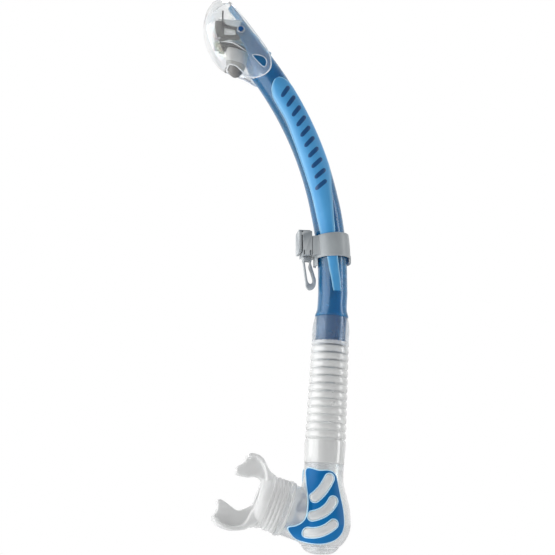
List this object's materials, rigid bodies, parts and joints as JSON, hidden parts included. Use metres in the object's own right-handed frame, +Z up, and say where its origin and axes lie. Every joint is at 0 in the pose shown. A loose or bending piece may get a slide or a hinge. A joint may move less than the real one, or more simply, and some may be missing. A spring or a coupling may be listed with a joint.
{
  "type": "dry top snorkel",
  "caption": "Dry-top snorkel: curved oval barrel, clear shroud over a float valve, strap keeper with hook, ribbed flex tube, purge chamber and C-shaped silicone mouthpiece.",
  "frame": {"origin": "centre of the outer face of the keeper's strap plate, where the mask strap's loop bears", "axes": "+Z up along the lower barrel towards the float valve; the barrel's plane of symmetry is XZ, and the mouthpiece and the top of the barrel lean towards -X; Y is across"},
  "size_m": [0.1179, 0.047, 0.4389],
  "materials": {
    "translucent_blue": "clear tinted, polished",
    "light_blue": "satin with a fine raised pattern",
    "keeper_grey": "fine satin moulding",
    "clear_plastic": "clear, polished",
    "clear_silicone": "frosted, translucent",
    "dark_grey": "satin",
    "float_grey": "satin",
    "seal_rubber": "matte",
    "steel": "drawn",
    "overlay_blue": "soft-touch rubberised"
  },
  "bodies": {
    "keeper": {"keeper_collar": "keeper_grey", "clip_block": "keeper_grey", "strap_plate": "keeper_grey"},
    "hook": {"swivel_peg": "keeper_grey", "strap_hook": "keeper_grey"},
    "barrel": {"barrel_tube": "translucent_blue", "inlay_near": "light_blue", "inlay_far": "light_blue", "head_shroud": "clear_plastic", "valve_duct": "clear_silicone", "valve_bracket": "dark_grey", "float_pin": "steel", "bracket_pin_near": "translucent_blue", "bracket_pin_far": "translucent_blue"},
    "float": {"float_body": "float_grey", "float_cap": "float_grey", "seal_carrier": "dark_grey", "seal_disc": "seal_rubber"},
    "chamber": {"chamber_shell": "clear_plastic", "overlay_near": "overlay_blue", "overlay_far": "overlay_blue", "purge_seat": "clear_plastic", "purge_cover": "clear_plastic", "flex_tube": "clear_silicone"},
    "purge_valve": {"purge_diaphragm": "clear_silicone"},
    "mouthpiece_sleeve": {"mouthpiece_tie": "clear_plastic"},
    "mouthpiece": {"mouthpiece_neck": "clear_silicone", "mouthpiece_flange": "clear_silicone"}
  },
  "joints": [
    {"name": "hook_swivel", "type": "hinge", "parent": "keeper", "child": "hook", "pos_m": [0.0066, 0, -0.0112], "axis": [0, 0, 1], "continuous": true},
    {"name": "keeper_slide", "type": "hinge", "parent": "keeper", "child": "barrel", "pos_m": [-0.2524, 0, -0.022], "axis": [0, 1, 0], "range_deg": [-1.8, 21]},
    {"name": "float_hinge", "type": "hinge", "parent": "barrel", "child": "float", "pos_m": [-0.064, 0, 0.164], "axis": [0, 1, 0], "range_deg": [-15, 0]},
    {"name": "flex_bend", "type": "hinge", "parent": "barrel", "child": "chamber", "pos_m": [0.02284, 0, -0.11785], "axis": [0, 1, 0], "range_deg": [-25, 60], "stiffness_Nm_per_rad": 1, "springref_deg": 0.69, "deforming": ["flex_tube"]},
    {"name": "purge_lift", "type": "slide", "parent": "chamber", "child": "purge_valve", "axis": [-0.0611, 0, -0.9981], "range_m": [0, 0.001], "stiffness_N_per_m": 60},
    {"name": "mouthpiece_turn", "type": "hinge", "parent": "chamber", "child": "mouthpiece_sleeve", "pos_m": [0.01698, 0, -0.21367], "axis": [-0.9426, 0, 0.3338], "range_deg": [-90, 90]},
    {"name": "mouthpiece_tilt", "type": "hinge", "parent": "mouthpiece_sleeve", "child": "mouthpiece", "pos_m": [-0.01941, 0, -0.20078], "axis": [0, 1, 0], "range_deg": [-12, 12], "stiffness_Nm_per_rad": 0.4, "deforming": ["mouthpiece_neck"]}
  ]
}
